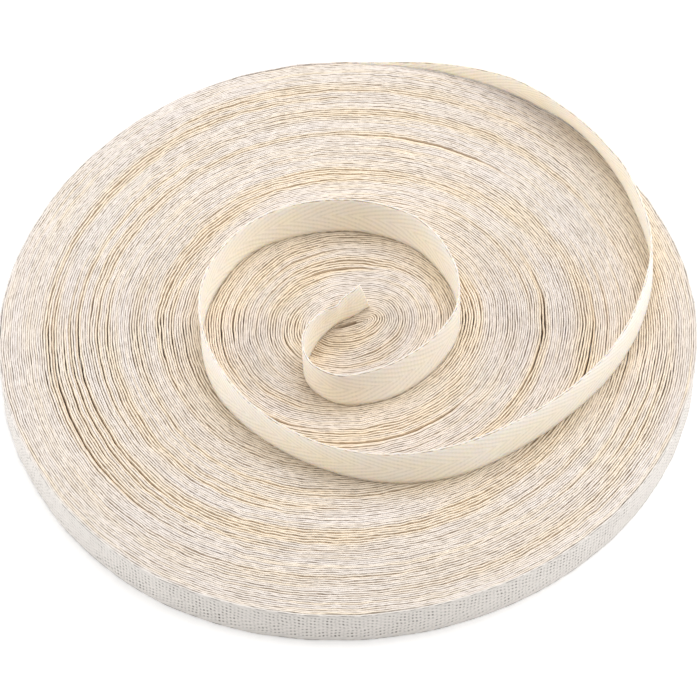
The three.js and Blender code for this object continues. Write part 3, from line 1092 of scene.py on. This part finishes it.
def cloth_material(name, look):
    """Undyed cotton tape: twill on its faces, fine wrapped threads along its edges."""
    material = bpy.data.materials.new(name)
    material.use_nodes = True
    tree = material.node_tree
    shader = tree.nodes["Principled BSDF"]
    shader.inputs["Roughness"].default_value = ROUGHNESS
    shader.inputs["Specular IOR Level"].default_value = SPECULAR
    shader.inputs["Sheen Weight"].default_value = SHEEN
    shader.inputs["Sheen Roughness"].default_value = SHEEN_ROUGHNESS
    if look["glow"] > 0:
        weight = times(tree, mark(tree, "lit_through"), look["glow"])
        tree.links.new(weight, shader.inputs["Subsurface Weight"])
        shader.inputs["Subsurface Radius"].default_value = GLOW_COLOURS
        shader.inputs["Subsurface Scale"].default_value = GLOW_METRES

    places = cloth_places(tree)
    height, rib, pit = twill(tree, places)
    stitch = stitches(tree, places)
    colour = cloth_colour(tree, places, look)
    shade = cloth_shade(tree, places, look, stitch, rib, pit)
    tree.links.new(mix_colour(tree, shade, look["shadow"], colour), shader.inputs["Base Color"])

    weave_height = times(tree, height, rest_of(tree, places["edge"]))
    stitch_height = times(tree, stitch, places["edge"], STITCH_HEIGHT)
    bump = node(tree, "ShaderNodeBump")
    bump.inputs["Strength"].default_value = BUMP_STRENGTH
    bump.inputs["Distance"].default_value = BUMP_METRES
    tree.links.new(calc(tree, "ADD", weave_height, stitch_height), bump.inputs["Height"])
    tree.links.new(bump.outputs["Normal"], shader.inputs["Normal"])
    return material


def make_camera(shift):
    """A camera straight in front of the roll, aimed at the floor under the slit."""
    camera = bpy.data.objects.new("camera", bpy.data.cameras.new("camera"))
    bpy.context.scene.collection.objects.link(camera)
    tilt = math.radians(CAMERA_ELEVATION)
    camera.location = (
        shift[0] * MM,
        (shift[1] - CAMERA_DISTANCE * math.cos(tilt)) * MM,
        CAMERA_DISTANCE * math.sin(tilt) * MM,
    )
    camera.rotation_euler = (math.pi / 2 - tilt, 0, 0)
    camera.data.sensor_width = SENSOR_WIDTH
    camera.data.lens = CAMERA_LENS
    bpy.context.scene.camera = camera


def make_floor():
    """A wide pale floor, which is no part of the object."""
    bpy.ops.mesh.primitive_plane_add(size=FLOOR_SIZE, location=(0, 0, FLOOR_HEIGHT))
    floor = bpy.context.object
    floor.name = "studio_floor"
    material = bpy.data.materials.new("studio_white")
    material.use_nodes = True
    shader = material.node_tree.nodes["Principled BSDF"]
    shader.inputs["Base Color"].default_value = FLOOR_COLOUR
    shader.inputs["Roughness"].default_value = FLOOR_ROUGHNESS
    shader.inputs["Emission Color"].default_value = WHITE
    shader.inputs["Emission Strength"].default_value = FLOOR_GLOW
    floor.data.materials.append(material)


def make_lamp(name, place, size, power, colour):
    """A square soft lamp at a place in metres, aimed at the roll."""
    light = bpy.data.lights.new(name, "AREA")
    light.size = size
    light.energy = power
    light.color = colour
    lamp = bpy.data.objects.new(name, light)
    lamp.location = place
    lamp.rotation_mode = "QUATERNION"
    lamp.rotation_quaternion = lamp.location.to_track_quat("Z", "Y")
    bpy.context.scene.collection.objects.link(lamp)


def make_studio():
    """A pale floor, a pale surround and soft lamps overhead and at both sides."""
    make_floor()
    world = bpy.data.worlds.new("studio_air")
    world.use_nodes = True
    surround = world.node_tree.nodes["Background"]
    surround.inputs["Color"].default_value = WHITE
    surround.inputs["Strength"].default_value = AIR_LIGHT
    bpy.context.scene.world = world
    for name, place, size, power, colour in LAMPS:
        make_lamp(name, place, size, power, colour)
    bpy.context.scene.view_settings.view_transform = "Standard"


shift = part_shift()
make_camera(shift)
make_studio()

inner_turns, outermost = cut_turns(shape_turns(wind()))
turn_pieces = make_inner_turns(inner_turns, shift, cloth_material("wound_cotton", WOUND_LOOK))
turn_pieces.append(make_outer_turn(outermost, shift, cloth_material("wall_cotton", WALL_LOOK)))
for piece in turn_pieces:
    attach(piece, "root")
    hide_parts("wound_roll")

tape_material = cloth_material("tape_cotton", TAPE_LOOK)
loose_end, loose_length = make_loose_end(outermost, shift, tape_material)
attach(loose_end, "root")
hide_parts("loose_end")
